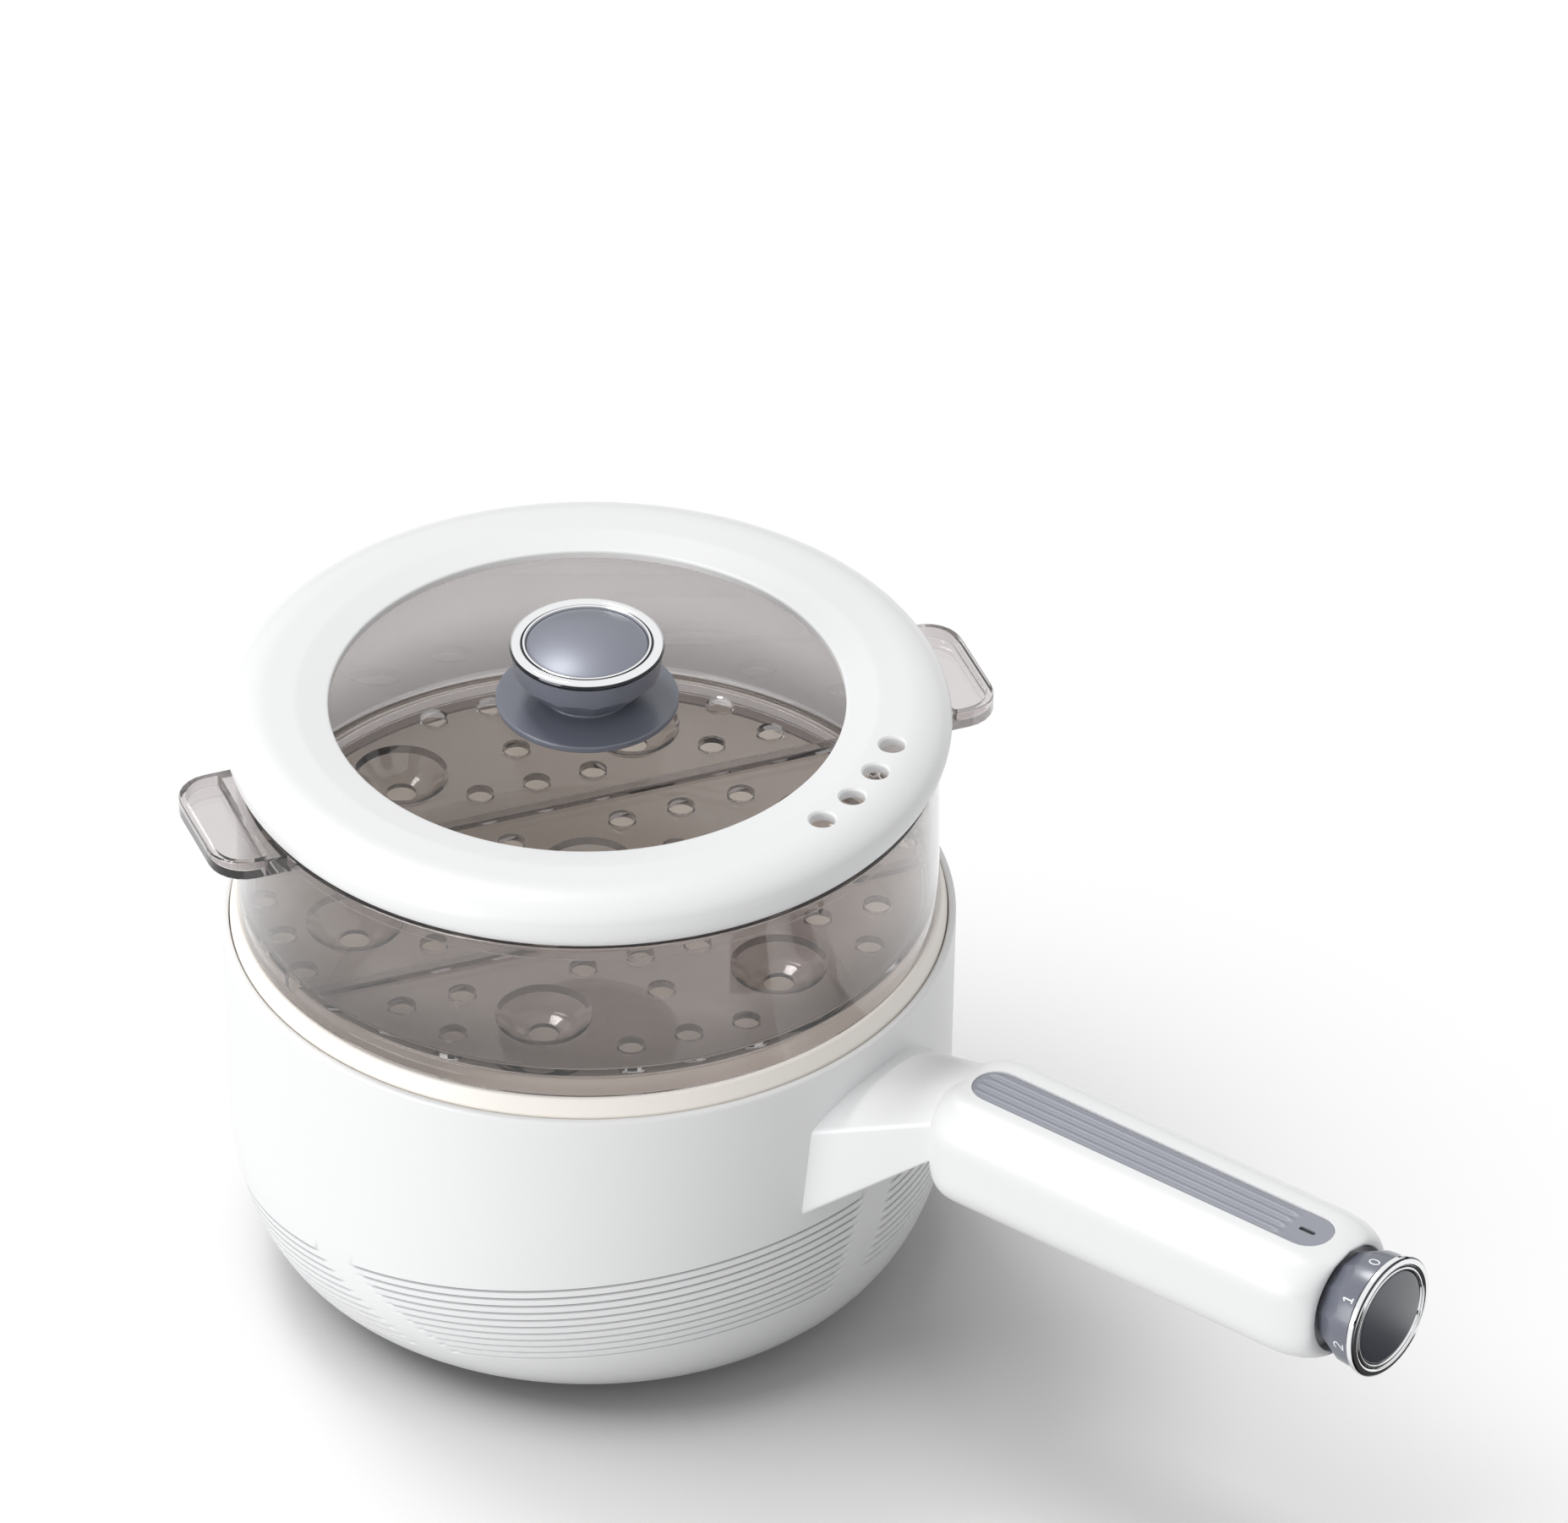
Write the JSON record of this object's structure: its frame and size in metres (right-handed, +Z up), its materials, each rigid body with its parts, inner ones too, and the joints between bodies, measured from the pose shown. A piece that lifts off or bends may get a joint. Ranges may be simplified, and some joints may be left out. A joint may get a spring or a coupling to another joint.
{
  "type": "electric hot pot",
  "caption": "Long-handled electric cooking pot with a rounded white housing, cream inner pot, lift-out clear steam tray, glass lid with a knob, and a dial at the handle's end.",
  "frame": {"origin": "on the table plane under the pot's axis", "axes": "+Z up along the pot's axis, +X along the handle towards the dial, +Y to the left of a person who looks along +X"},
  "size_m": [0.3734, 0.2064, 0.1998],
  "materials": {
    "white_plastic": "satin white moulded plastic",
    "cover_plastic": "fine matt pale grey plastic",
    "steel": "plain zinc-plated steel",
    "rubber": "soft matt rubber",
    "pot_coating": "smooth cream non-stick coating",
    "plate_metal": "cast aluminium",
    "heater_steel": "heat-stained steel tube",
    "brass": "plain brass",
    "ceramic": "pale insulating ceramic",
    "wire_skin": "soft wire insulation",
    "black_plastic": "matt black plastic",
    "inlay_grey": "matt blue-grey plastic",
    "lamp_window": "dark glossy window",
    "board": "circuit board",
    "slate_plastic": "satin slate grey plastic",
    "bright_ring": "bright plated ring",
    "dark_cap": "glossy dark slate disc",
    "clear_tray": "clear smoky plastic",
    "lid_pane": "clear tempered glass"
  },
  "bodies": {
    "base": {"outer_housing": "white_plastic", "base_cover": "cover_plastic", "base_screws": "steel", "rubber_feet": "rubber", "inner_pot": "pot_coating", "rim_gasket": "rubber", "heating_plate": "plate_metal", "heater_tube": "heater_steel", "heater_tabs": "brass", "thermostat": "ceramic", "thermal_fuse": "ceramic", "fuse_clip": "steel", "pot_stud": "steel", "clamp_bridge": "steel", "clamp_nut": "steel", "terminal_block": "ceramic", "wire_harness": "wire_skin", "power_inlet": "black_plastic", "inlet_pins": "brass", "handle_shell": "white_plastic", "handle_cover": "cover_plastic", "handle_screws": "steel", "neck_screws": "steel", "grip_inlay": "inlay_grey", "indicator_lens": "lamp_window", "indicator_board": "board", "rotary_switch": "black_plastic", "switch_nut": "steel"},
    "dial": {"switch_shaft": "steel", "control_knob": "slate_plastic", "knob_ring": "bright_ring", "knob_cap": "dark_cap"},
    "tray": {"steam_tray": "clear_tray"},
    "lid": {"lid_ring": "white_plastic", "lid_glass": "lid_pane", "lid_knob_base": "slate_plastic", "lid_knob_body": "slate_plastic", "lid_knob_ring": "bright_ring", "lid_knob_cap": "slate_plastic", "lid_knob_screw": "steel", "lid_knob_washer": "rubber"}
  },
  "joints": [
    {"name": "tray_lift", "type": "slide", "parent": "base", "child": "tray", "axis": [0, 0, 1], "range_m": [0, 0.076]},
    {"name": "lid_lift", "type": "slide", "parent": "tray", "child": "lid", "axis": [0, 0, 1], "range_m": [0, 0.0393]},
    {"name": "dial_turn", "type": "hinge", "parent": "base", "child": "dial", "pos_m": [0.265, 0, 0.096], "axis": [-1, 0, 0], "range_deg": [0, 96]}
  ]
}
